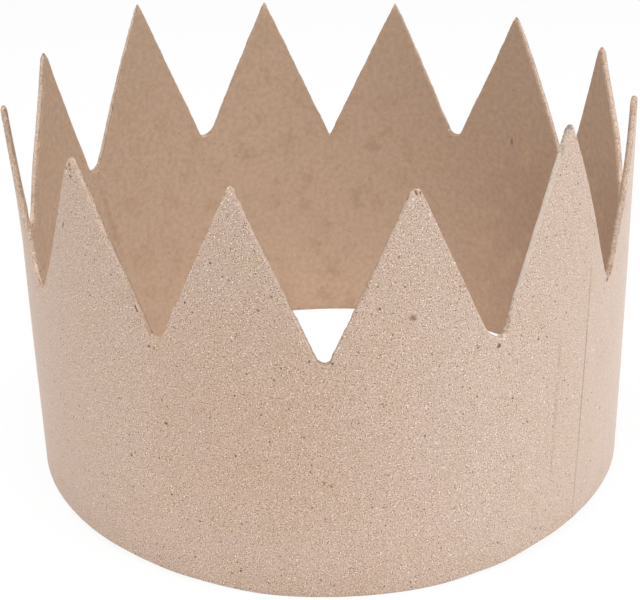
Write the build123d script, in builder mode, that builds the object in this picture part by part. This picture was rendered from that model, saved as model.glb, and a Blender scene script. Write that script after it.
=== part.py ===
from build123d import *
from math import cos, radians, tan
import os

# A crown of grey-brown pulp board. One strip of board is rolled into a round band, its ends
# are glued edge to edge, and twelve straight-sided teeth are cut into its upper edge by hand.
# The origin is the centre of the band's foot, +Z is up, and the crown's front faces -Y.

# Board and band, in millimetres
OUTER_DIAMETER = 175.0
BOARD_THICKNESS = 1.8
BAND_HEIGHT = 68.5

# Teeth and the notches between them
TOOTH_HEIGHT = 45.0
TIP_WIDTH = 1.2
TIP_ROUNDING = 0.4
ROOT_ROUNDING = 0.35

# Glued seam at the front right: a hairline that leans as it climbs the band
SEAM_ANGLE = -38.5
SEAM_LEAN = 1.8
SEAM_WIDTH = 0.35
SEAM_DEPTH = 0.3

# Cut by hand, no two teeth are alike. Going round from +X towards +Y, these are the degrees
# that each tooth stands off its even place, and how much it rises above the usual height.
TEETH = (
    (1.5, -0.5),
    (0.0, 0.0),
    (-0.5, 0.0),
    (-1.5, 1.0),
    (-1.5, 6.0),
    (-2.5, 0.5),
    (0.0, -0.5),
    (1.0, -2.0),
    (1.5, -2.0),
    (0.0, -3.5),
    (-0.5, 4.0),
    (0.0, -1.5),
)

# The notch that follows each tooth: the degrees that its root stands off its even place, how
# much the root lies above the band's height, and how wide the root is.
NOTCHES = (
    (-1.0, 0.0, 2.0),
    (0.0, 1.0, 2.5),
    (-0.5, -1.5, 1.0),
    (-0.5, 2.0, 2.5),
    (0.0, 2.0, 2.0),
    (0.0, 0.0, 2.0),
    (-0.5, -0.5, 2.0),
    (1.5, 1.0, 2.0),
    (0.0, -1.5, 2.5),
    (-0.5, -0.5, 4.0),
    (1.0, 0.5, 1.0),
    (0.0, 0.0, 2.0),
)

# Sizes that follow from those. The strip is as high as its tallest tooth.
OUTER_RADIUS = OUTER_DIAMETER / 2
INNER_RADIUS = OUTER_RADIUS - BOARD_THICKNESS
PITCH_ANGLE = 360 / len(TEETH)
TIP_HEIGHT = BAND_HEIGHT + TOOTH_HEIGHT
STRIP_HEIGHT = TIP_HEIGHT + max(rise for _, rise in TEETH)


def tooth(index):
    """The angle round the band at which a tooth's point stands, and the point's height."""
    turns, place = divmod(index, len(TEETH))
    shift, rise = TEETH[place]
    return 360 * turns + (place + 0.5) * PITCH_ANGLE + shift, TIP_HEIGHT + rise


def notch(index):
    """The angle, height and width of the root of the notch that follows a tooth."""
    shift, rise, width = NOTCHES[index]
    return (index + 1) * PITCH_ANGLE + shift, BAND_HEIGHT + rise, width


def facing_out(angle, radius):
    """The upright plane that faces outwards at a place round the band, its Y axis up."""
    outwards = Vector(1, 0, 0).rotate(Axis.Z, angle)
    along_band = Vector(0, 1, 0).rotate(Axis.Z, angle)
    return Plane(origin=outwards * radius, x_dir=along_band, z_dir=outwards)


def notch_corners(index, radius):
    """A notch's outline at a distance from the crown's axis, with the rounding of each corner.

    Widths grow in step with that distance, so that every cut runs square through the board,
    straight towards the axis. The outline takes in the whole of each neighbouring tip.
    """
    share = radius / OUTER_RADIUS
    here, root_height, root_width = notch(index)
    left_angle, left_height = tooth(index)
    right_angle, right_height = tooth(index + 1)
    left_tip = radius * tan(radians(left_angle - here))
    right_tip = radius * tan(radians(right_angle - here))
    half_tip = TIP_WIDTH / 2 * share
    half_root = root_width / 2 * share
    above_strip = STRIP_HEIGHT + TOOTH_HEIGHT
    root_round = ROOT_ROUNDING * root_width * share
    tip_round = TIP_ROUNDING * share
    return (
        ((-half_root, root_height), root_round),
        ((half_root, root_height), root_round),
        ((right_tip - half_tip, right_height), tip_round),
        ((right_tip + half_tip, right_height), 0),
        ((right_tip + half_tip, above_strip), 0),
        ((left_tip - half_tip, above_strip), 0),
        ((left_tip - half_tip, left_height), 0),
        ((left_tip + half_tip, left_height), tip_round),
    )


# A notch's cutter starts and ends this far from the axis, clear of the curved board
CUTTER_START = INNER_RADIUS * cos(radians(PITCH_ANGLE))
CUTTER_END = OUTER_RADIUS / cos(radians(PITCH_ANGLE))

with BuildPart() as crown:
    # Strip of board, rolled and joined into a band
    with BuildSketch(Plane.XY):
        Circle(OUTER_RADIUS)
        Circle(INNER_RADIUS, mode=Mode.SUBTRACT)
    extrude(amount=STRIP_HEIGHT)

    # Twelve notches leave twelve teeth
    for index in range(len(NOTCHES)):
        for radius in (CUTTER_START, CUTTER_END):
            points, rounds = zip(*notch_corners(index, radius))
            with BuildSketch(facing_out(notch(index)[0], radius)):
                with BuildLine():
                    FilletPolyline(*points, radius=rounds, close=True)
                make_face()
        loft(ruled=True, mode=Mode.SUBTRACT)

    # Seam where the strip's ends meet
    with BuildSketch(facing_out(SEAM_ANGLE, OUTER_RADIUS)):
        with Locations((0, BAND_HEIGHT / 2)):
            Rectangle(SEAM_WIDTH, 2 * STRIP_HEIGHT, rotation=-SEAM_LEAN)
    extrude(amount=-SEAM_DEPTH, mode=Mode.SUBTRACT)

os.makedirs("parts", exist_ok=True)
crown.part.label = "crown"
export_step(crown.part, "parts/crown.step")
print(f"crown: {crown.part.volume / 1000:.1f} cm3, box {crown.part.bounding_box().size}")
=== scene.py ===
# %% [markdown]
# # A paper crown, from flat strip to finished picture
# The real crown starts as one flat strip of stiff pulp board. Twelve teeth are cut into its
# upper edge, the strip is rolled into a ring, and its two ends are glued together. This lesson
# makes it in the same order, and then gives it its three finishes, its light and its camera.
#
# The imported CAD model says how large the crown is and where it stands, so it is loaded first and
# never moved. Its box is kept, and gives the ring its size.

# %% Load the imported crown
import bmesh
import bpy
from collections import namedtuple
from math import cos, degrees, pi, radians, sin, tan
from mathutils import Matrix, Vector, noise


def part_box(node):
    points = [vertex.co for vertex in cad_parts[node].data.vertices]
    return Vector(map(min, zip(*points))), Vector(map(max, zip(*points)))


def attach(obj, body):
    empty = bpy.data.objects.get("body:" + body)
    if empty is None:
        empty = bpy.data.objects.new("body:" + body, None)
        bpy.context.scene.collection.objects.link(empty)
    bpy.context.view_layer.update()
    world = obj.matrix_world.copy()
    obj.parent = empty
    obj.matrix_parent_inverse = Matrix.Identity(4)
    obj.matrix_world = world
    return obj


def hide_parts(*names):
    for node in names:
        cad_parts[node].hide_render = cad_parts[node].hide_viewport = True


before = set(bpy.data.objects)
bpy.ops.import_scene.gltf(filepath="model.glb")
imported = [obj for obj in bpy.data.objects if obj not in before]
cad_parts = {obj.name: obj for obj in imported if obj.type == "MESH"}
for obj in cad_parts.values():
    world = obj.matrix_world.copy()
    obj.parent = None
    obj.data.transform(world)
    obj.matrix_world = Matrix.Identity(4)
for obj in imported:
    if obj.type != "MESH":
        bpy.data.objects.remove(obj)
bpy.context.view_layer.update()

MM = 1000  # millimetres in a metre

# %% [markdown]
# ## Sizes of the board
# Everything about the flat strip is written in millimetres, as one would mark it out with a
# ruler, and it becomes metres when the strip is rolled. The ring's size is read from the CAD
# model. Angles go round the ring from +X towards +Y, as they do there.

# %% Measure the ring
BOARD_THICKNESS = 1.8
SEAM_ANGLE = -38.5
SEAM_LEAN = 1.8
crown_low, crown_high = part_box("crown")
RING_RADIUS = MM * (crown_high.x - crown_low.x) / 2
STRIP_LENGTH = 2 * pi * RING_RADIUS
print(f"a strip of {STRIP_LENGTH:.0f} mm makes a ring of {2 * RING_RADIUS:.0f} mm")

# %% [markdown]
# ## The cut upper edge
# The teeth were cut by hand, so no two are alike. Each row below is one notch and the tooth
# after it, going round from the seam: where the notch's root stands, how high it lies, how
# wide it is and how much it slopes, and then the tooth's place, height and width at its point,
# and how far the point leans outwards. Writing the rows out keeps the crown's character. A
# formula would make a machine-cut one.

# %% Mark the notches and teeth
Cut = namedtuple("Cut", "root root_height root_width slope point height width lean")
CUTS = [Cut(*row) for row in (
    (-30.0, 70.0, 3.0, -0.5, -13.7, 112.6, 1.6, -0.5),
    (-1.4, 71.6, 0.9, 0.4, 18.5, 112.7, 0.6, 0.9),
    (27.4, 68.7, 2.1, -0.8, 44.8, 113.7, 0.3, 0.1),
    (59.5, 70.5, 3.3, 0.4, 74.5, 113.1, 0.3, 0.9),
    (89.7, 67.2, 0.4, 0.1, 103.8, 113.9, 0.3, 0.8),
    (119.0, 71.3, 4.0, -1.3, 133.6, 118.9, 0.3, 1.0),
    (150.6, 70.8, 4.9, -0.2, 162.9, 113.9, 0.3, 1.1),
    (182.2, 70.1, 8.4, 0.0, 195.8, 113.5, 1.6, 1.9),
    (209.4, 69.0, 4.4, -0.4, 226.8, 112.8, 1.4, 1.35),
    (241.6, 70.0, 3.0, 0.1, 256.3, 112.2, 0.8, 0.2),
    (270.2, 67.6, 2.6, -0.4, 285.0, 110.9, 1.8, 0.1),
    (299.5, 69.1, 5.0, -3.0, 313.0, 119.3, 0.9, 1.1),
)]


def along(angle):
    """How far along the flat strip an angle of the ring lies, from the seam."""
    return radians(angle - SEAM_ANGLE) * RING_RADIUS


upper_edge = []
for row in CUTS:
    upper_edge.append((along(row.root) - row.root_width / 2, row.root_height - row.slope / 2))
    upper_edge.append((along(row.root) + row.root_width / 2, row.root_height + row.slope / 2))
    upper_edge.append((along(row.point) - row.width / 2, row.height))
    upper_edge.append((along(row.point) + row.width / 2, row.height))
print(len(upper_edge), "corners between the strip's ends")

# %% [markdown]
# ## Where the ends meet
# The seam leans, so both ends of the strip are cut on the same slant, and they meet on the
# right flank of the last tooth. The slanted end and the sloping flank are two straight lines,
# and the corner of each end is where they cross.

# %% Find the slanted ends
END_SLOPE = tan(radians(SEAM_LEAN))
SEAM_MIDDLE = 34.0
JOINT_GAP = 0.03

flank_top = Vector(upper_edge[-1]) - Vector((STRIP_LENGTH, 0))
flank = Vector(upper_edge[0]) - flank_top
share = (END_SLOPE * (flank_top.y - SEAM_MIDDLE) - flank_top.x) / (flank.x - END_SLOPE * flank.y)
end_top = flank_top + share * flank
end_foot = Vector((-END_SLOPE * SEAM_MIDDLE, 0))
upper_edge.insert(0, tuple(end_top))
upper_edge.append((end_top.x + STRIP_LENGTH - JOINT_GAP, end_top.y))
print(f"the ends meet {end_top.y:.1f} mm up and lean {end_top.x - end_foot.x:.1f} mm")

# %% [markdown]
# ## Cutting the strip
# The upper edge starts as a chain of corners. A vertex bevel rounds each root and each point by
# a share of its own width, because the blade turns in the root, and worn fibre leaves no needle
# points. One bevel for all of them would stop at the narrowest. It can leave two corners in one
# place, so they are merged, or a sliver would run down from there. The chain is then pulled
# down three times: twice by a millimetre or so, which leaves two narrow rows of faces to hold
# the edge's shape, and then to the foot. Drawing the outline first and extruding it down gives
# neat columns under every slope, which cutting teeth out of a ready grid would not.

# %% Cut the flat strip
ROUNDING = 0.45
SMALLEST = 0.08
HOLDING_ROW = 1.2
TO_THE_FOOT = 1000
strip = bmesh.new()
corners = [strip.verts.new((x, 0, z)) for x, z in upper_edge]
for pair in zip(corners, corners[1:]):
    strip.edges.new(pair)
for left, right in zip(corners[1:-1:2], corners[2:-1:2]):
    bmesh.ops.bevel(strip, geom=[left, right], offset=ROUNDING * (right.co.x - left.co.x),
                    segments=4, profile=0.5, affect="VERTICES", clamp_overlap=True, material=-1)
bmesh.ops.remove_doubles(strip, verts=strip.verts[:], dist=SMALLEST)

chains = [strip.edges[:]]
for drop in (HOLDING_ROW, HOLDING_ROW, TO_THE_FOOT):
    pulled = bmesh.ops.extrude_edge_only(strip, edges=chains[-1])["geom"]
    chains.append([part for part in pulled if isinstance(part, bmesh.types.BMEdge)])
    for corner in (part for part in pulled if isinstance(part, bmesh.types.BMVert)):
        corner.co.z = max(0, corner.co.z - drop)
foot_corners = sorted((v for v in strip.verts if v.co.z == 0), key=lambda v: v.co.x)
foot_corners[0].co.x = end_foot.x
foot_corners[-1].co.x = end_foot.x + STRIP_LENGTH - JOINT_GAP
print(len(strip.faces), "panels in the strip")

# %% [markdown]
# ## Columns and rows
# A rolled board needs many narrow columns to look round, and its cut edge needs them to look
# like torn fibre. Each panel is split by its own width, so that the columns come out even. A
# few rows are enough, because the board stays nearly straight from foot to point. One more row
# close to the foot holds the shape of the lower edge.

# %% Split the panels into columns and rows
COLUMN_WIDTH = 0.32
ROWS = 7


def left_to_right(edges):
    """The edges of one chain in their order along the strip."""
    return sorted(edges, key=lambda e: e.verts[0].co.x + e.verts[1].co.x)


splits = {}
for panel in zip(*(left_to_right(chain) for chain in chains)):
    width = abs(panel[0].verts[0].co.x - panel[0].verts[1].co.x)
    splits.setdefault(round(width / COLUMN_WIDTH) - 1, []).extend(panel)
for cuts, edges in splits.items():
    if cuts > 0:
        bmesh.ops.subdivide_edges(strip, edges=edges, cuts=cuts, use_grid_fill=True)

uprights = [e for e in strip.edges if (e.verts[0].co.z == 0) != (e.verts[1].co.z == 0)]
bmesh.ops.subdivide_edges(strip, edges=uprights, cuts=ROWS - 1, use_grid_fill=True)
bmesh.ops.bisect_plane(strip, geom=strip.verts[:] + strip.edges[:] + strip.faces[:],
                       plane_co=(0, 0, HOLDING_ROW), plane_no=(0, 0, 1))
print(len(uprights), "columns,", len(strip.faces), "faces")

# %% [markdown]
# ## Thickness and edges
# The sheet becomes a board by extruding all of it and moving the copy back by the thickness.
# The cut then runs square through the board, as a blade leaves it. Its long edges get a small
# bevel, since pulp board never has a sharp one, but at the seam, where the ends are pressed
# together, hardly any. The face of the cut is split into four strips, which leaves room for
# loose fibre.

# %% Give the board its thickness
EDGE_WEAR = 0.24
SEAM_WEAR = 0.05
SHARP = radians(80)
TOUCHING = 0.01


def past_seam(spot):
    """How far along the strip a spot lies past the strip's slanted left end."""
    return spot.x - END_SLOPE * (spot.z - SEAM_MIDDLE)


def at_seam(edge):
    """Whether both corners of an edge lie on an end of the strip."""
    return all(not TOUCHING < past_seam(corner.co) < STRIP_LENGTH - JOINT_GAP - TOUCHING
               for corner in edge.verts)


def depth_of(edge):
    """How far an edge runs through the board."""
    return abs(edge.verts[0].co.y - edge.verts[1].co.y)


copy = bmesh.ops.extrude_face_region(strip, geom=strip.faces[:], use_keep_orig=True)["geom"]
back = [part for part in copy if isinstance(part, bmesh.types.BMVert)]
bmesh.ops.translate(strip, verts=back, vec=(0, BOARD_THICKNESS, 0))
bmesh.ops.recalc_face_normals(strip, faces=strip.faces[:])

long_edges = [e for e in strip.edges if e.is_manifold and e.calc_face_angle() > SHARP
              and depth_of(e) < TOUCHING]
seam_edges = [e for e in long_edges if at_seam(e)]
worn_edges = [e for e in long_edges if not at_seam(e)]
for edges, wear in ((worn_edges, EDGE_WEAR), (seam_edges, SEAM_WEAR)):
    bmesh.ops.bevel(strip, geom=[e for e in edges if e.is_valid], offset=wear, segments=2,
                    profile=0.5, affect="EDGES", clamp_overlap=True, material=-1)
through = [e for e in strip.edges if depth_of(e) > BOARD_THICKNESS / 2]
bmesh.ops.subdivide_edges(strip, edges=through, cuts=3, use_grid_fill=True)
print(len(long_edges), "edges worn,", len(strip.faces), "faces")

# %% [markdown]
# ## Three surfaces
# The outside, the inside and the cut will each have a finish of their own, so their faces are
# sorted now, while the board still lies flat and one number tells them apart. Each point also
# keeps its place on the flat board, in millimetres, as an attribute. The patterns follow that
# place round the ring later, as real fibres do, and nothing stretches or slides. Two more
# attributes tell how far it lies from the point of its tooth and from the nearest root, the two
# places where a cut edge wears most.

# %% Sort the faces and note each point's place
OUTSIDE, INSIDE, CUT = range(3)
FACE_ON = 0.8
strip.normal_update()
for face in strip.faces:
    face.smooth = True
    if face.normal.y < -FACE_ON:
        face.material_index = OUTSIDE
    elif face.normal.y > FACE_ON:
        face.material_index = INSIDE
    else:
        face.material_index = CUT


def tooth_of(spot):
    """The row of CUTS whose tooth a spot belongs to. Before the first root it is the last."""
    return CUTS[sum(spot.x > along(row.root) for row in CUTS) - 1]


flat_place, from_point, from_root = (strip.verts.layers.float_vector.new(name)
                                     for name in ("flat_place", "from_point", "from_root"))
for vertex in strip.verts:
    spot = vertex.co.copy()
    tooth = tooth_of(spot)
    notch = min(CUTS, key=lambda row: abs(spot.x - along(row.root)))
    vertex[flat_place] = spot
    vertex[from_point] = spot - Vector((along(tooth.point), spot.y, tooth.height))
    vertex[from_root] = spot - Vector((along(notch.root), spot.y, notch.root_height))
print([sum(f.material_index == kind for f in strip.faces) for kind in (OUTSIDE, INSIDE, CUT)],
      "faces outside, inside and on the cut")

# %% [markdown]
# ## Wear and fibre
# A cut through pulp tears as much as it slices. Points on the cut are moved by noise of two
# sizes, a slow one for the unsteady hand and a quick one for crumbs of fibre. The foot was cut
# by machine, so it gets less, and nothing goes below it. The ends at the seam were pressed
# flat and stay as they are. The tip of each tooth is pinched, because worn tips go round on
# all sides. The whole board also sways by a few tenths of a millimetre, which keeps the ring
# from looking turned on a lathe. It sways inwards only, so that the crown stays inside the
# size that the CAD model gives.

# %% Fray the cut and let the board sway
HAND, HAND_SCALE = 0.22, 0.21
CRUMB, CRUMB_SCALE = 0.16, 2.3
SWAY, SWAY_SCALE = 0.35, 0.035
PINCH, TIP = 0.7, 1.6
FOOT_SHARE = 0.35
ON_THE_CUT = 0.3
SEAM_MARGIN = 1
frayed = 0
for vertex in strip.verts:
    spot = vertex[flat_place]
    cut_normal = Vector((vertex.normal.x, 0, vertex.normal.z))
    between_ends = SEAM_MARGIN < past_seam(spot) < STRIP_LENGTH - SEAM_MARGIN
    if between_ends and cut_normal.length > ON_THE_CUT:
        depth = HAND * noise.noise(spot * HAND_SCALE) + CRUMB * noise.noise(spot * CRUMB_SCALE)
        vertex.co -= cut_normal * depth * (1 if spot.z > HOLDING_ROW else FOOT_SHARE)
        vertex.co.z = max(0, vertex.co.z)
        frayed += 1
    worn = PINCH * max(0, 1 - vertex[from_point].length / TIP)
    vertex.co.y += worn * (BOARD_THICKNESS / 2 - vertex.co.y)
    wave = noise.noise(Vector((spot.x, 0, spot.z)) * SWAY_SCALE)
    vertex.co.y += SWAY * (0.5 + 0.5 * wave)
print("frayed", frayed, "points of the cut")

# %% [markdown]
# ## Rolling the ring
# Distance along the strip becomes an angle, and depth becomes a smaller radius. This is a bend
# by hand, in a few lines, and it is exact. A Simple Deform modifier could roll the strip too,
# but it would leave the ring off the CAD model's centre. A rolled ring is never quite true.
# This one is a little shallower from front to back than it is wide, and a little narrower above
# than at its foot, a hair more so on its right. Some teeth lean outwards or inwards. A few
# flanks were cut a little too far, some from the root up and some only nearer the point. The
# ring stands on its front and back, and a table says how far its foot is off the floor at each
# angle between.

# %% Say how the ring differs from a true one
SHALLOWER = 0.5
NARROWER, MORE_ON_RIGHT, TAPER_END, TAPER_POWER = 0.55, 0.05, 78.0, 2.5
LEAN_START, LEAN_REACH, LEAN_POWER = 80.0, 33.0, 0.9
FULL_FLANKS = (
    # notch, side of it, how much too far, where up the flank that starts, how wide it reaches
    (CUTS[8], -1, 3.6, 0.0, 23), (CUTS[8], 1, 1.5, 0.0, 23),
    (CUTS[7], -1, 2.0, 0.25, 29), (CUTS[1], 1, 1.3, 0.45, 30),
)
NARROWEST = 0.05  # share of a tooth's width that is left where its point is near
FOOT_RISES = ((-180, 2.0), (-150, 2.2), (-130, 1.7), (-115, 1.0), (-98, 0.0), (-72, 0.0),
              (-60, 0.8), (-48, 2.1), (-35, 2.5), (-15, 2.2), (30, 0.8), (60, 0.1), (90, 0.0),
              (120, 0.1), (150, 1.0), (180, 2.0))


def foot_rise(angle):
    """How far the foot is off the floor at an angle in degrees, smoothly between the rows."""
    turned = (angle + 180) % 360 - 180
    for (before, low), (after, high) in zip(FOOT_RISES, FOOT_RISES[1:]):
        if before <= turned <= after:
            way = (turned - before) / (after - before)
            return low + (high - low) * way * way * (3 - 2 * way)


def fuller(spot):
    """How far a spot moves along the strip, because some flanks are cut too far.

    The flank itself moves most, and the middle of its tooth stays where it is.
    """
    moved = 0
    for notch, side, fullness, start, reach in FULL_FLANKS:
        away = side * (spot.x - along(notch.root)) / reach
        climb = (spot.z - notch.root_height) / (notch.height - notch.root_height)
        upper = (climb - start) / (1 - start)
        if 0 < away < 1 and 0 < upper < 1:
            beside = min(1, (1 - away) / max(1 - climb, NARROWEST))
            moved += side * fullness * sin(pi * upper) * beside
    return moved


print("the foot rises", max(rise for _, rise in FOOT_RISES), "mm at most")

# %% [markdown]
# ## The finished mesh
# Each point of the flat board now goes to its place on the ring, and the mesh becomes an
# object of the scene.

# %% Roll the strip and let the teeth lean
for vertex in strip.verts:
    spot = vertex[flat_place]
    lean = tooth_of(spot).lean * (max(0, spot.z - LEAN_START) / LEAN_REACH) ** LEAN_POWER
    angle = radians(SEAM_ANGLE) + (vertex.co.x + fuller(spot)) / RING_RADIUS
    taper = min(1, spot.z / TAPER_END) ** TAPER_POWER
    radius = RING_RADIUS - vertex.co.y + lean - SHALLOWER * (1 - cos(2 * angle))
    radius -= (NARROWER + MORE_ON_RIGHT * cos(angle)) * taper
    rise = foot_rise(degrees(angle)) * max(0, 1 - spot.z / TAPER_END)
    vertex.co = Vector((radius * cos(angle), radius * sin(angle), vertex.co.z + rise)) / MM
strip.normal_update()
board = bpy.data.meshes.new("crown_board")
strip.to_mesh(board)
strip.free()
crown = bpy.data.objects.new("crown_board", board)
bpy.context.scene.collection.objects.link(crown)
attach(crown, "root")
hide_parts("crown")
board.calc_loop_triangles()
print(len(board.loop_triangles), "triangles in the crown")

# %% [markdown]
# ## Building materials from nodes
# A few small helpers keep the node code short. The first places a node and fills its inputs,
# either with plain values or with links from other nodes, and the next ones use it for the
# nodes that come up most. The last starts a node group, which is a recipe with named inputs and
# outputs that several finishes can share.

# %% Helpers for nodes
def place(tree, kind, inputs=None, **settings):
    """Place a node, set its properties, and fill its inputs with values or links."""
    made = tree.nodes.new(kind)
    for name, value in settings.items():
        setattr(made, name, value)
    for name, value in (inputs or {}).items():
        if isinstance(value, bpy.types.NodeSocket):
            tree.links.new(value, made.inputs[name])
        else:
            made.inputs[name].default_value = value
    return made


def maths(tree, operation, *values):
    """Place one Math node and return its result."""
    return place(tree, "ShaderNodeMath", dict(enumerate(values)), operation=operation).outputs[0]


def vectors(tree, operation, *values, **named):
    """Place one Vector Math node and return its result, a number for LENGTH, else a vector."""
    made = place(tree, "ShaderNodeVectorMath", {**dict(enumerate(values)), **named},
                 operation=operation)
    return made.outputs["Value" if operation == "LENGTH" else "Vector"]


def times(tree, first, *others):
    """The product of several values."""
    for other in others:
        first = maths(tree, "MULTIPLY", first, other)
    return first


def gap(tree, value, other):
    """How far two values are apart."""
    return maths(tree, "ABSOLUTE", maths(tree, "SUBTRACT", value, other))


def fade(tree, value, start, end, low=0.0, high=1.0):
    """Turn a value smoothly into low at start and high at end."""
    ends = {"From Min": start, "From Max": end, "To Min": low, "To Max": high}
    return place(tree, "ShaderNodeMapRange", {"Value": value, **ends},
                 interpolation_type="SMOOTHSTEP").outputs[0]


def tint(tree, amount, under, over, blend="MIX"):
    """Lay one colour over another by an amount."""
    return place(tree, "ShaderNodeMix", {0: amount, 6: under, 7: over},
                 data_type="RGBA", blend_type=blend).outputs[2]


def recipe(name, inputs, outputs):
    """Start a node group with named sockets, and return it with its first and last node."""
    group = bpy.data.node_groups.new(name, "ShaderNodeTree")
    for label, kind, value in inputs:
        socket = group.interface.new_socket(label, in_out="INPUT", socket_type="NodeSocket" + kind)
        if value is not None:
            socket.default_value = value
    for label, kind in outputs:
        group.interface.new_socket(label, in_out="OUTPUT", socket_type="NodeSocket" + kind)
    return group, group.nodes.new("NodeGroupInput").outputs, group.nodes.new("NodeGroupOutput")


print("helpers ready")

# %% [markdown]
# ## Specks
# Recycled pulp is full of specks: bark, ink and bleached fibre. A Voronoi pattern gives each
# cell of the board one speck at most. The cell's random colour decides whether it has one and
# how large it is, and a little noise on the place keeps the specks from being round.

# %% Recipe for specks
SPECK_RAGGED = 2.5
SPECK_SMALL, SPECK_LARGE, SPECK_CORE = 0.5, 1.6, 0.4
specks, given, result = recipe(
    "specks",
    [("Place", "Vector", None), ("Cell", "Float", 3.0), ("Share", "Float", 0.4),
     ("Radius", "Float", 0.3)],
    [("Mask", "Float")])
wobble = place(specks, "ShaderNodeTexNoise", {"Vector": given["Place"], "Scale": 3.0})
nudge = vectors(specks, "SUBTRACT", wobble.outputs["Color"], (0.5, 0.5, 0.5))
nudge = vectors(specks, "SCALE", nudge,
                Scale=maths(specks, "MULTIPLY", given["Radius"], SPECK_RAGGED))
nudged = vectors(specks, "ADD", given["Place"], nudge)
cells = vectors(specks, "SCALE", nudged, Scale=maths(specks, "DIVIDE", 1.0, given["Cell"]))
spots = place(specks, "ShaderNodeTexVoronoi", {"Vector": cells, "Scale": 1.0})
chance = place(specks, "ShaderNodeSeparateColor", {"Color": spots.outputs["Color"]})
radius = times(specks, given["Radius"],
               fade(specks, chance.outputs[1], 0, 1, SPECK_SMALL, SPECK_LARGE))
from_middle = times(specks, spots.outputs["Distance"], given["Cell"])
within = fade(specks, from_middle, radius, times(specks, radius, SPECK_CORE))
present = maths(specks, "LESS_THAN", chance.outputs[0], given["Share"])
specks.links.new(times(specks, within, present), result.inputs["Mask"])
print("specks:", len(specks.nodes), "nodes")

# %% [markdown]
# ## Short fibres
# Here and there a dark fibre lies flat in the board. Each cell of another Voronoi pattern may
# hold one. The place is measured from the middle of the cell and turned by a random angle, and
# then a fibre is simply where that place is near one axis and not far along the other. A small
# bow keeps it from being a ruled line.

# %% Recipe for fibres
FIBRE_BOW = 0.15
FIBRE_CORE, FIBRE_TAPER = 0.3, 0.7
fibres, given, result = recipe(
    "fibres",
    [("Place", "Vector", None), ("Cell", "Float", 9.0), ("Share", "Float", 0.4),
     ("Length", "Float", 0.9), ("Width", "Float", 0.16)],
    [("Mask", "Float")])
flat = place(fibres, "ShaderNodeSeparateXYZ", {"Vector": given["Place"]})
face_on = place(fibres, "ShaderNodeCombineXYZ", {"X": flat.outputs["X"], "Y": flat.outputs["Z"]})
cells = vectors(fibres, "SCALE", face_on.outputs[0],
                Scale=maths(fibres, "DIVIDE", 1.0, given["Cell"]))
spots = place(fibres, "ShaderNodeTexVoronoi", {"Vector": cells, "Scale": 1.0},
              voronoi_dimensions="2D")
chance = place(fibres, "ShaderNodeSeparateColor", {"Color": spots.outputs["Color"]})
from_middle = vectors(fibres, "SUBTRACT", cells, spots.outputs["Position"])
true_size = vectors(fibres, "SCALE", from_middle, Scale=given["Cell"])
turned = place(fibres, "ShaderNodeVectorRotate",
               {"Vector": true_size, "Angle": times(fibres, chance.outputs[1], 2 * pi)},
               rotation_type="Z_AXIS")
line = place(fibres, "ShaderNodeSeparateXYZ", {"Vector": turned.outputs[0]})
lengthways = maths(fibres, "ABSOLUTE", line.outputs["X"])
bow = times(fibres, maths(fibres, "POWER", lengthways, 2.0), FIBRE_BOW)
across = maths(fibres, "ABSOLUTE", maths(fibres, "ADD", line.outputs["Y"], bow))
thin = fade(fibres, across, given["Width"], times(fibres, given["Width"], FIBRE_CORE))
short = fade(fibres, lengthways, given["Length"], times(fibres, given["Length"], FIBRE_TAPER))
present = maths(fibres, "LESS_THAN", chance.outputs[0], given["Share"])
fibres.links.new(times(fibres, thin, short, present), result.inputs["Mask"])
print("fibres:", len(fibres.nodes), "nodes")

# %% [markdown]
# ## Pulp
# This is the board itself. Cloudy patches of a warmer pulp lie in the main one. Soft clumps and
# a fine grain lighten and darken it, and the specks and fibres lie on top. The grain is a
# Voronoi pattern whose cells each have a brightness of their own, because ground fibre looks
# like loose crumbs, and a noise texture on its own would look like worms. The grain is
# multiplied by its own size, which leaves most of the board calm and a few crumbs strong, and
# it changes blue most and red least, because the dark crumbs are brown. The group puts out a
# colour, and the height of the grain for the bump. Three finishes use it with their own values.

# %% Recipe for pulp
CRUMBS, DUST = 1.1, 3.4
GRAIN_TINT = (0.75, 1.08, 1.21)
HAIR_STRENGTH = 0.6
SPECK_LAYERS = (
    # cell, radius, share, colour, strength
    (3.7, 0.3, "Dark share", "Dark", 0.85),
    (1.7, 0.23, "Dark share", "Dark", 0.8),
    (2.4, 0.22, "Pale share", "Pale", 0.8),
    (1.1, 0.16, "Pale share", "Pale", 0.5),
    (1.6, 0.34, "Wear", "Pale", 0.6),
    (1.4, 0.36, "Wear", "Dark", 0.75),
)
pulp, given, result = recipe(
    "pulp",
    [("Place", "Vector", None), ("Board", "Color", (0.6, 0.45, 0.35, 1)),
     ("Patches", "Color", (0.6, 0.45, 0.3, 1)), ("Dark", "Color", (0.1, 0.06, 0.04, 1)),
     ("Pale", "Color", (0.9, 0.8, 0.7, 1)), ("Cloud", "Float", 0.5), ("Clumps", "Float", 0.05),
     ("Grain", "Float", 0.2), ("Dark share", "Float", 0.3), ("Pale share", "Float", 0.15),
     ("Fibre share", "Float", 0.3), ("Wear", "Float", 0.0)],
    [("Color", "Color"), ("Height", "Float")])
cloud = place(pulp, "ShaderNodeTexNoise", {"Vector": given["Place"], "Scale": 0.12,
                                           "Detail": 4.0, "Roughness": 0.6})
patchy = times(pulp, fade(pulp, cloud.outputs[0], 0.46, 0.7), given["Cloud"])
colour = tint(pulp, patchy, given["Board"], given["Patches"])
soft = place(pulp, "ShaderNodeTexNoise", {"Vector": given["Place"], "Scale": 0.55,
                                          "Detail": 3.0, "Roughness": 0.65})
clumps = times(pulp, fade(pulp, soft.outputs[0], 0.3, 0.7, -1.0, 1.0), given["Clumps"])
crumbs = place(pulp, "ShaderNodeTexVoronoi", {"Vector": given["Place"], "Scale": 4.0})
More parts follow.
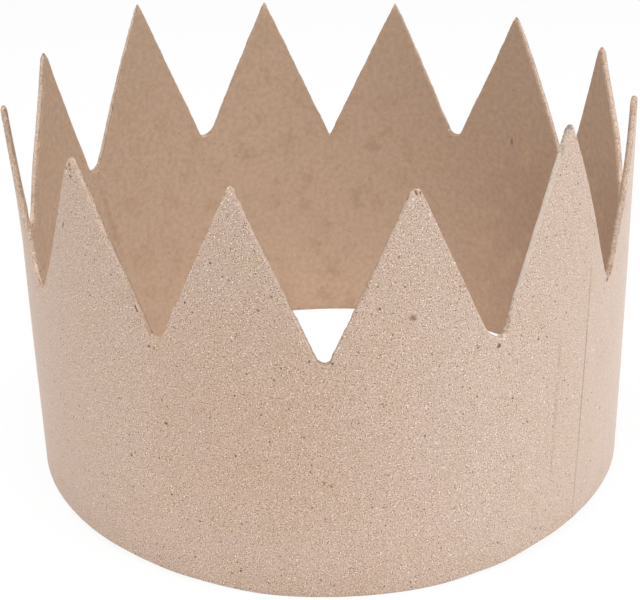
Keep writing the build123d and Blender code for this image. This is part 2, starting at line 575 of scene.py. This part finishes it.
crumb = place(pulp, "ShaderNodeSeparateColor", {"Color": crumbs.outputs["Color"]}).outputs[0]
dust = place(pulp, "ShaderNodeTexNoise", {"Vector": given["Place"], "Scale": 3.2, "Detail": 0.0})
loose = maths(pulp, "ADD", maths(pulp, "MULTIPLY_ADD", crumb, CRUMBS, -CRUMBS / 2),
              maths(pulp, "MULTIPLY_ADD", dust.outputs[0], DUST, -DUST / 2))
sparse = times(pulp, loose, maths(pulp, "ABSOLUTE", loose))
grain = times(pulp, sparse, given["Grain"])
shade = vectors(pulp, "MULTIPLY_ADD", grain, GRAIN_TINT, maths(pulp, "ADD", 1.0, clumps))
colour = tint(pulp, 1.0, colour, shade, "MULTIPLY")
for cell, radius, share, speck_colour, strength in SPECK_LAYERS:
    mask = place(pulp, "ShaderNodeGroup", node_tree=specks)
    pulp.links.new(given["Place"], mask.inputs["Place"])
    pulp.links.new(given[share], mask.inputs["Share"])
    mask.inputs["Cell"].default_value = cell
    mask.inputs["Radius"].default_value = radius
    colour = tint(pulp, times(pulp, mask.outputs[0], strength), colour, given[speck_colour])
hairs = place(pulp, "ShaderNodeGroup", node_tree=fibres)
pulp.links.new(given["Place"], hairs.inputs["Place"])
pulp.links.new(given["Fibre share"], hairs.inputs["Share"])
colour = tint(pulp, times(pulp, hairs.outputs[0], HAIR_STRENGTH), colour, given["Dark"])
pulp.links.new(colour, result.inputs["Color"])
pulp.links.new(dust.outputs[0], result.inputs["Height"])
print("pulp:", len(pulp.nodes), "nodes")

# %% [markdown]
# ## Three finishes
# The outside is the board's best face, pale and grainy. The inside is smoother and browner.
# The cut shows the loose core, with coarse grain and many specks. All three are matt, so they
# differ in the pulp's values and in how deep the grain is pressed. The outside alone has some
# sheen, the pale bloom of loose fibres where the board turns away. Its grain also gets fainter
# away from the front. In every fade from here on, the two numbers after the value say where the
# change starts and where it is complete. For places on the board, they are millimetres.

# %% Finish the board
FRONT = along(268)
NEAR_FRONT, FAR_FROM_FRONT = 45, 110
MATT, SHINE, SHEEN_SPREAD = 0.95, 0.2, 0.4
WORN_PLACES = (
    # attribute, where wear starts, where it is full, how much of it
    ("from_point", 6.0, 1.0, 0.85), ("from_root", 5.0, 1.5, 0.55),
)


def distance(tree, attribute):
    """The length of an attribute that points from a spot of the board to somewhere."""
    way = place(tree, "ShaderNodeAttribute", attribute_name=attribute).outputs["Vector"]
    return vectors(tree, "LENGTH", way)


def board_finish(name, depth, sheen, smoothest, values):
    """A matt pulp material: its tree, its pulp, its flat place, and the parts of that place.

    The depth is how deep the grain is pressed, in metres. The smoothest is the share of the
    grain that is left far from the front.
    """
    material = bpy.data.materials.new(name)
    material.use_nodes = True
    board.materials.append(material)
    tree = material.node_tree
    shader = tree.nodes["Principled BSDF"]
    shader.inputs["Roughness"].default_value = MATT
    shader.inputs["Specular IOR Level"].default_value = SHINE
    shader.inputs["Sheen Weight"].default_value = sheen
    shader.inputs["Sheen Roughness"].default_value = SHEEN_SPREAD
    mix = place(tree, "ShaderNodeGroup", node_tree=pulp)
    for label, value in values.items():
        mix.inputs[label].default_value = value
    where = place(tree, "ShaderNodeAttribute", attribute_name="flat_place").outputs["Vector"]
    tree.links.new(where, mix.inputs["Place"])
    flat = place(tree, "ShaderNodeSeparateXYZ", {"Vector": where}).outputs
    tree.links.new(fade(tree, gap(tree, flat["X"], FRONT), NEAR_FRONT, FAR_FROM_FRONT,
                        values["Grain"], values["Grain"] * smoothest), mix.inputs["Grain"])
    near = [fade(tree, distance(tree, attribute), start, end, 0.0, most)
            for attribute, start, end, most in WORN_PLACES]
    tree.links.new(maths(tree, "MAXIMUM", *near), mix.inputs["Wear"])
    tree.links.new(mix.outputs["Color"], shader.inputs["Base Color"])
    bump = place(tree, "ShaderNodeBump", {"Height": mix.outputs["Height"], "Strength": 1.0,
                                          "Distance": depth})
    tree.links.new(bump.outputs["Normal"], shader.inputs["Normal"])
    return tree, mix, where, flat


outside, outside_pulp, outside_place, outside_flat = board_finish(
    "board_outside", depth=0.00003, sheen=0.22, smoothest=0.5, values={
        "Board": (0.653, 0.486, 0.391, 1), "Patches": (0.634, 0.475, 0.356, 1),
        "Dark": (0.1, 0.05, 0.025, 1), "Pale": (0.98, 0.9, 0.84, 1),
        "Cloud": 0.9, "Clumps": 0.025, "Grain": 0.55,
        "Dark share": 0.3, "Pale share": 0.22, "Fibre share": 0.14})
inside, inside_pulp, inside_place, inside_flat = board_finish(
    "board_inside", depth=0.00002, sheen=0.0, smoothest=1.0, values={
        "Patches": (0.506, 0.355, 0.246, 1),
        "Dark": (0.2, 0.12, 0.08, 1), "Pale": (0.75, 0.6, 0.5, 1),
        "Cloud": 1.0, "Clumps": 0.08, "Grain": 0.03,
        "Dark share": 0.06, "Pale share": 0.06, "Fibre share": 0.03})
cut, cut_pulp, cut_place, cut_flat = board_finish(
    "board_cut", depth=0.0001, sheen=0.0, smoothest=1.0, values={
        "Patches": (0.42, 0.30, 0.22, 1),
        "Dark": (0.14, 0.08, 0.05, 1), "Pale": (0.92, 0.80, 0.68, 1),
        "Cloud": 0.6, "Clumps": 0.1, "Grain": 0.36,
        "Dark share": 0.6, "Pale share": 0.3, "Fibre share": 0.0})
print([m.name for m in board.materials])

# %% [markdown]
# ## Across the cut and up the wall
# The cut runs from the pale outside to the brown inside, so its colour does too, and it gets
# darker towards the roots. On the inside, painted shade darkens the wall towards the points and
# low down beside the seam, and a painted light makes it a little paler in the middle of the back.
# Each change is a soft fade, so it shows no edge of its own.

# %% Let colours change with the place
CORE, SKIN, ROOT_DARK = (0.55, 0.417, 0.335, 1), (0.36, 0.25, 0.175, 1), (0.24, 0.145, 0.09, 1)
WALL, SHADED_UPPER_WALL = (0.535, 0.383, 0.281, 1), (0.492, 0.347, 0.25, 1)
SHADE_BY_SEAM, LIGHT_MID_BACK = (0.8, 0.755, 0.735, 1), (1.075, 1.075, 1.075, 1)
MIDDLE_OF_BACK = 210.0
core = tint(cut, fade(cut, cut_flat["Y"], 0.8, 1.55), CORE, SKIN)
# The cut gets darker towards the roots.
core = tint(cut, fade(cut, distance(cut, "from_root"), 5, 1, 0.0, 0.55), core, ROOT_DARK)
cut.links.new(core, cut_pulp.inputs["Board"])

# Painted shade: the wall gets darker towards the points.
wall = tint(inside, fade(inside, inside_flat["Z"], 60, 112), WALL, SHADED_UPPER_WALL)
# Painted shade: the wall is darker low down beside the seam.
beside_seam = times(inside, fade(inside, inside_flat["X"], 175, 105),
                    fade(inside, inside_flat["Z"], 100, 50))
wall = tint(inside, beside_seam, wall, SHADE_BY_SEAM, "MULTIPLY")
# Painted light: the wall is a little paler in the middle of the back.
from_middle = gap(inside, inside_flat["X"], MIDDLE_OF_BACK)
wall = tint(inside, fade(inside, from_middle, 70, 5), wall, LIGHT_MID_BACK, "MULTIPLY")
inside.links.new(wall, inside_pulp.inputs["Board"])
print("colours follow the board")

# %% [markdown]
# ## The seam
# The glued ends meet in a hairline groove, and its shade is painted on as a thin dark line. It is
# clear in the middle of the band and fades towards the foot. A second, fainter line beside it is
# painted shade in a crease, which the board got when its ends were pressed together. A ping-pong
# of the distance along the strip makes one line from its two ends, and a slow noise breaks both
# lines up.

# %% Draw the seam
CREASE = 537.5
SEAM_SHADE_STRENGTH, CREASE_SHADE_STRENGTH = 0.5, 0.2
SEAM_SHADE = (0.2, 0.13, 0.09, 1)
across, height = outside_flat["X"], outside_flat["Z"]
slant = times(outside, maths(outside, "SUBTRACT", height, SEAM_MIDDLE), END_SLOPE)
past = maths(outside, "SUBTRACT", across, slant)
from_seam = maths(outside, "PINGPONG", past, STRIP_LENGTH / 2)
blotch = place(outside, "ShaderNodeTexNoise", {"Vector": outside_place, "Scale": 0.35,
                                               "Detail": 2.0})
broken = fade(outside, blotch.outputs[0], 0.35, 0.6, 0.3, 1.0)
# Painted shade of the hairline groove where the ends meet.
line = times(outside, fade(outside, from_seam, 0.4, 0.1), broken,
             fade(outside, height, 79, 76), fade(outside, height, 0, 45, 0.35, 1.0),
             SEAM_SHADE_STRENGTH)
# Painted shade in the crease beside the seam.
crease_shade = times(outside, fade(outside, gap(outside, past, CREASE), 1.0, 0.1), broken,
               fade(outside, height, 12, 25), fade(outside, height, 66, 55), CREASE_SHADE_STRENGTH)
painted_seam_shade = maths(outside, "MAXIMUM", line, crease_shade)
print("seam drawn")

# %% [markdown]
# ## Broad changes of colour outside
# The board isn't one colour all round. Past the seam, and a little before it, a painted reflection
# of the white surroundings makes it cooler and greyer.
# To the left of the front there is a broad browner patch. Faint upright streaks, which are
# noise stretched upwards, are clearest near the seam. These are multiplied on, so that the
# grain under them stays, and the seam's lines are laid over them.

# %% Tint the outside
REFLECTION_PAST_SEAM, REFLECTION_BEFORE_SEAM = (1.0, 1.045, 1.085, 1), (1.0, 1.028, 1.055, 1)
BROWNER, STREAKS = (0.98, 0.957, 0.93, 1), (0.95, 0.96, 0.95, 1)
BROWN_MIDDLE = 452.0
# Painted reflection: a cooler cast past the seam.
painted_reflection_past = times(outside, fade(outside, past, 0.1, 0.5), fade(outside, past, 90, 45))
stretched = place(outside, "ShaderNodeCombineXYZ", {"X": times(outside, across, 0.5),
                                                    "Z": times(outside, height, 0.03)})
streaks = place(outside, "ShaderNodeTexNoise", {"Vector": stretched.outputs[0], "Scale": 1.0,
                                                "Detail": 2.0})
streaky = times(outside, fade(outside, streaks.outputs[0], 0.35, 0.65),
                fade(outside, from_seam, 40, 10, 0.35, 1.0), 0.5)
brown = times(outside, fade(outside, gap(outside, across, BROWN_MIDDLE), 36, 12),
              fade(outside, height, 92, 60), fade(outside, height, 12, 35))
# Painted reflection: the same cooler cast a little before the seam.
before = fade(outside, across, 478, 515)
colour = outside_pulp.outputs["Color"]
for amount, shade in ((painted_reflection_past, REFLECTION_PAST_SEAM), (brown, BROWNER), (before, REFLECTION_BEFORE_SEAM),
                      (streaky, STREAKS)):
    colour = tint(outside, amount, colour, shade, "MULTIPLY")
# The seam's painted shade is laid over the colour.
outside_colour = tint(outside, painted_seam_shade, colour, SEAM_SHADE)
print("outside tinted")

# %% [markdown]
# ## Small marks
# The board has a few marks of its own: a gouge and a nick in two flanks, some large specks, brown
# crumbs, torn fibre in one root, greyed and browned points, and a soft stain and a speck on the
# inside. Two more are painted light and shade: one flank of the cut is painted paler, as painted
# light, and a long painted shade lies on the inside beside a tooth's flank. Each is an ellipse
# with a ragged edge. It is a recipe with a centre, a size and a turn, so that a mark is one row in
# a table.

# %% Recipe for a mark
THROUGH_BOARD = 9
mark, given, result = recipe(
    "mark",
    [("Place", "Vector", None), ("Centre", "Vector", None),
     ("Size", "Vector", (1, THROUGH_BOARD, 1)), ("Turn", "Float", 0.0)],
    [("Mask", "Float")])
away = vectors(mark, "SUBTRACT", given["Place"], given["Centre"])
turned = place(mark, "ShaderNodeVectorRotate", {"Vector": away, "Angle": given["Turn"]},
               rotation_type="Y_AXIS")
scaled = vectors(mark, "DIVIDE", turned.outputs[0], given["Size"])
ragged = place(mark, "ShaderNodeTexNoise", {"Vector": given["Place"], "Scale": 1.4,
                                            "Detail": 1.0})
reach = maths(mark, "ADD", vectors(mark, "LENGTH", scaled),
              fade(mark, ragged.outputs[0], 0.2, 0.8, -0.4, 0.4))
mark.links.new(fade(mark, reach, 1.2, 0.5), result.inputs["Mask"])
print("mark:", len(mark.nodes), "nodes")

# %% [markdown]
# ## Putting the marks on
# Each table lists the marks of one surface, in millimetres on the flat strip, and each mark is
# laid over the ones before it. A table keeps them easy to find, and the recipe would serve
# another board as well.

# %% Put the marks on
BLACK, BROWN, GREY = (0.075, 0.04, 0.022, 1), (0.2, 0.1, 0.045, 1), (0.1, 0.095, 0.1, 1)
# The brown one colours real stains and also one painted shade; the pale one colours a pale mark by
# the gouge and also one painted light.
STAIN_AND_SHADE, PALE_AND_LIGHT = (0.36, 0.235, 0.16, 1), (0.85, 0.74, 0.64, 1)
OUTSIDE_MARKS = (
    # along the strip, height, half width, half height, turn, colour, strength
    (423.4, 77.4, 0.5, 1.8, 26, PALE_AND_LIGHT, 0.5), (422.6, 77.2, 0.4, 1.5, 26, BLACK, 0.85),
    (397.8, 93.6, 0.35, 1.2, -26, BLACK, 0.8), (429.3, 46.5, 0.5, 0.5, 0, BLACK, 0.8),
    (417.0, 33.1, 0.5, 0.5, 0, BLACK, 0.8), (493.4, 78.7, 0.8, 1.0, 40, BROWN, 0.6),
    (517.0, 66.6, 0.8, 0.6, 30, BLACK, 0.8), (511.0, 67.6, 0.6, 0.6, 0, BROWN, 0.6),
    (536.2, 119.0, 1.3, 1.3, 0, GREY, 0.6), (11.7, 70.0, 0.8, 0.7, 0, BLACK, 0.85),
    (493.9, 110.2, 0.35, 0.8, 20, BROWN, 0.9), (492.2, 109.3, 0.35, 0.6, -30, BROWN, 0.9),
    (449.0, 110.6, 0.7, 0.6, 0, BROWN, 0.6), (404.6, 111.0, 0.4, 0.6, 0, BROWN, 0.6),
)
INSIDE_MARKS = (
    (180.1, 63.2, 3.4, 2.2, 0, STAIN_AND_SHADE, 0.35), (126.4, 72.4, 0.7, 1.4, 0, BLACK, 0.5),
    # painted shade: a long dark band on the inner wall beside a tooth's flank
    (283.4, 51.5, 1.3, 18.0, -16, STAIN_AND_SHADE, 0.3),
)
CUT_MARKS = (
    (536.8, 119.4, 1.6, 1.5, 0, GREY, 0.75), (262.5, 118.4, 0.8, 1.6, 0, GREY, 0.6),
    (307.4, 113.4, 0.9, 1.3, 0, GREY, 0.5), (87.0, 112.6, 0.9, 1.3, 0, STAIN_AND_SHADE, 0.6),
    (357.8, 113.0, 0.7, 0.8, 0, BROWN, 0.6), (37.9, 112.4, 0.8, 1.0, 0, BROWN, 0.6),
    # painted light: the left-facing cut flank of the last tooth made paler
    (527.4, 93.4, 3.2, 26.0, -19, PALE_AND_LIGHT, 0.6),
)
for tree, where, colour, marks in (
        (outside, outside_place, outside_colour, OUTSIDE_MARKS),
        (inside, inside_place, inside_pulp.outputs["Color"], INSIDE_MARKS),
        (cut, cut_place, cut_pulp.outputs["Color"], CUT_MARKS)):
    for x, z, half_width, half_height, turn, shade, strength in marks:
        spot = place(tree, "ShaderNodeGroup", node_tree=mark)
        tree.links.new(where, spot.inputs["Place"])
        spot.inputs["Centre"].default_value = (x, BOARD_THICKNESS / 2, z)
        spot.inputs["Size"].default_value = (half_width, THROUGH_BOARD, half_height)
        spot.inputs["Turn"].default_value = radians(turn)
        colour = tint(tree, times(tree, spot.outputs[0], strength), colour, shade)
    tree.links.new(colour, tree.nodes["Principled BSDF"].inputs["Base Color"])
print(len(OUTSIDE_MARKS), "marks outside,", len(INSIDE_MARKS), "inside,",
      len(CUT_MARKS), "on the cut")

# %% [markdown]
# ## The floor
# The crown was photographed on pure white. Much of the light inside the ring comes up from the
# floor, so the floor is a bright, lit surface and not only a backdrop. Where the camera looks
# straight at it, most of what it sees is plain white, and the rest is the floor's own lit
# colour, which keeps the crown's soft shadow.

# %% Lay the floor
FLOOR_SIZE = 3.0
FLOOR_COLOUR = (0.9, 0.9, 0.9, 1)
PLAIN_SHARE = 0.92
floor_mesh = bpy.data.meshes.new("floor")
sheet = bmesh.new()
bmesh.ops.create_grid(sheet, x_segments=1, y_segments=1, size=FLOOR_SIZE)
sheet.to_mesh(floor_mesh)
sheet.free()
floor = bpy.data.objects.new("floor", floor_mesh)
bpy.context.scene.collection.objects.link(floor)


def seen_straight(tree):
    """1 for a ray that shows the background itself: from the camera, a gloss or a clear piece."""
    path = place(tree, "ShaderNodeLightPath").outputs
    either = maths(tree, "MAXIMUM", path["Is Camera Ray"], path["Is Glossy Ray"])
    return maths(tree, "MAXIMUM", either, path["Is Transmission Ray"])


white = bpy.data.materials.new("white_floor")
white.use_nodes = True
tree = white.node_tree
lit = tree.nodes["Principled BSDF"]
lit.inputs["Base Color"].default_value = FLOOR_COLOUR
lit.inputs["Roughness"].default_value = 1.0
lit.inputs["Specular IOR Level"].default_value = 0.0
plain = place(tree, "ShaderNodeEmission", {"Color": (1, 1, 1, 1), "Strength": 1.0})
amount = times(tree, seen_straight(tree), PLAIN_SHARE)
mixed = place(tree, "ShaderNodeMixShader", {0: amount, 1: lit.outputs[0], 2: plain.outputs[0]})
tree.links.new(mixed.outputs[0], tree.nodes["Material Output"].inputs["Surface"])
floor_mesh.materials.append(white)
print("floor laid")

# %% [markdown]
# ## The light
# The light is soft and comes from above, with a little more of it from the right. A large area
# lamp hangs over the crown, a little in front of it, two smaller ones stand left and right, and
# a dim sky fills in the shadows. The sky looks white to the camera but lights the crown with
# its own low strength.

# %% Light the crown
SKY, SKY_SEEN = 0.2, 1.0
world = bpy.data.worlds.new("studio")
bpy.context.scene.world = world
world.use_nodes = True
tree = world.node_tree
sky = tree.nodes["Background"]
sky.inputs["Color"].default_value = (1, 1, 1, 1)
tree.links.new(fade(tree, seen_straight(tree), 0.0, 1.0, SKY, SKY_SEEN), sky.inputs["Strength"])


def soft_lamp(name, where, target, size, power):
    """Hang a square area lamp at a place, turned towards a point."""
    data = bpy.data.lights.new(name, "AREA")
    data.shape = "SQUARE"
    data.size = size
    data.energy = power
    lamp = bpy.data.objects.new(name, data)
    lamp.location = where
    lamp.rotation_euler = (Vector(target) - lamp.location).to_track_quat("-Z", "Y").to_euler()
    bpy.context.scene.collection.objects.link(lamp)


soft_lamp("lamp_top", where=(0, -0.15, 1.0), target=(0, 0, 0), size=0.8, power=12.4)
soft_lamp("lamp_left", where=(-0.75, -0.2, 0.4), target=(0, 0, 0.05), size=0.5, power=0.75)
soft_lamp("lamp_right", where=(0.75, -0.2, 0.4), target=(0, 0, 0.05), size=0.5, power=2.2)

# %% [markdown]
# ## The camera
# The camera looks down at the crown from the front, about 25 degrees above level, with a long
# lens of 79 mm from less than half a metre away. These values were fitted to the crown's own
# points and notches in the photograph. Turning the camera about three axes in order, first
# roll, then tilt, then heading, is the same as multiplying three small rotations.

# %% Set up the camera
ELEVATION, ROLL, HEADING = 25.51, -1.25, 1.32
CAMERA_PLACE = (0.0066, -0.3819, 0.2263)
eye = bpy.data.cameras.new("camera")
eye.sensor_width = 36
eye.lens = 79.34
camera = bpy.data.objects.new("camera", eye)
heading = Matrix.Rotation(radians(HEADING), 4, "Z")
tilt = Matrix.Rotation(radians(90 - ELEVATION), 4, "X")
roll = Matrix.Rotation(radians(ROLL), 4, "Z")
camera.matrix_world = Matrix.Translation(CAMERA_PLACE) @ (heading @ tilt @ roll)
bpy.context.scene.collection.objects.link(camera)
bpy.context.scene.camera = camera
bpy.context.scene.view_settings.view_transform = "Standard"
print("camera set, lens", round(eye.lens, 1))
